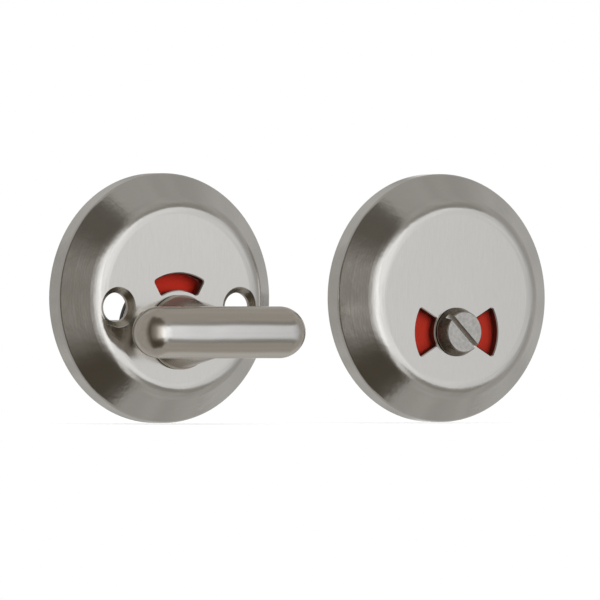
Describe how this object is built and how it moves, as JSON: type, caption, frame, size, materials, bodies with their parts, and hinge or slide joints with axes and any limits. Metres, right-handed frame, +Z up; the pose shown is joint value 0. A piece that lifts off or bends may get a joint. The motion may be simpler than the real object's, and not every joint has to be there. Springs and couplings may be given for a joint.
{
  "type": "bathroom thumb turn lock",
  "caption": "Bathroom lock set: bevelled round rose with a T-bar thumb turn and a red indicator window, and a matching outside rose with a slotted emergency release.",
  "frame": {"origin": "centre of the inside rose on the door plane", "axes": "+X right and +Z up seen from the front; the roses face -Y and their backs lie on y = 0"},
  "size_m": [0.121, 0.0492, 0.052],
  "materials": {
    "satin_metal": "satin, finely brushed",
    "bearing_plastic": "matt",
    "disc_white": "satin",
    "field_red": "satin",
    "spring_steel": "dark, oiled",
    "plated_steel": "bright zinc plate"
  },
  "bodies": {
    "roses": {"inside_rose": "satin_metal", "inside_bush": "bearing_plastic", "outside_rose": "satin_metal", "release_washer": "bearing_plastic", "fixing_post_left": "plated_steel", "fixing_post_right": "plated_steel"},
    "turn": {"thumb_turn": "satin_metal", "inside_disc": "disc_white", "inside_red_fields": "field_red", "inside_spring_washer": "spring_steel", "inside_washer": "plated_steel", "inside_ring": "spring_steel", "inside_spindle": "plated_steel", "inside_pin": "plated_steel"},
    "release": {"release_knob": "satin_metal", "outside_disc": "disc_white", "outside_red_fields": "field_red", "outside_spring_washer": "spring_steel", "outside_washer": "plated_steel", "outside_ring": "spring_steel", "outside_spindle": "plated_steel", "outside_pin": "plated_steel"}
  },
  "joints": [
    {"name": "turn_swing", "type": "hinge", "parent": "roses", "child": "turn", "pos_m": [0, 0, -0.0071], "axis": [0, 1, 0], "range_deg": [0, 90]},
    {"name": "release_swing", "type": "hinge", "parent": "roses", "child": "release", "pos_m": [0.069, 0, -0.0071], "axis": [0, -1, 0], "range_deg": [0, 90]}
  ]
}
